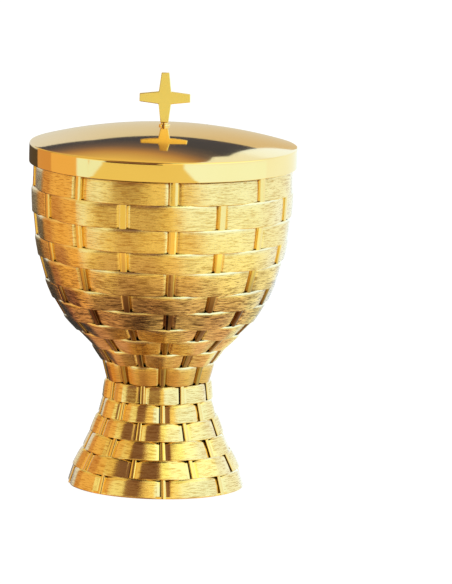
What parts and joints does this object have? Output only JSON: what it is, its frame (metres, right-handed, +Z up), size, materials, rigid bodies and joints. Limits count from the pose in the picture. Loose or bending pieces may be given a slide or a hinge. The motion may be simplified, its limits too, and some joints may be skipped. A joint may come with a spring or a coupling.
{
  "type": "covered ciborium",
  "caption": "Woven-pattern gilt cup on a flared foot, with a smooth liner and a shallow lift-off lid topped by a cross, for holding hosts.",
  "frame": {"origin": "centre of the foot's base, on the surface that the ciborium stands on", "axes": "+Z up along the ciborium's axis, -Y is the front, towards the viewer who sees the flat face of the cross, +X to that viewer's right"},
  "size_m": [0.1124, 0.1124, 0.1745],
  "materials": {
    "polished_gilt": "gold-plated brass, mirror polished",
    "woven_gilt": "gold-plated brass, strips satin brushed along their length, stakes polished",
    "gilt_inside": "gold-plated brass, smooth satin",
    "turned_brass": "plain turned brass, unplated"
  },
  "bodies": {
    "cup": {"cup_shell": "woven_gilt", "cup_liner": "gilt_inside", "neck_boss": "turned_brass", "tie_rod": "turned_brass", "foot_shell": "woven_gilt", "foot_washer": "turned_brass", "foot_nut": "turned_brass"},
    "lid": {"lid_shell": "polished_gilt", "lid_locating_ring": "gilt_inside", "cross_post": "polished_gilt", "cross_finial": "polished_gilt", "lid_washer": "gilt_inside", "lid_cap_nut": "gilt_inside"}
  },
  "joints": [
    {"name": "lid_lift", "type": "slide", "parent": "cup", "child": "lid", "axis": [0, 0, 1], "range_m": [0, 0.06]}
  ]
}
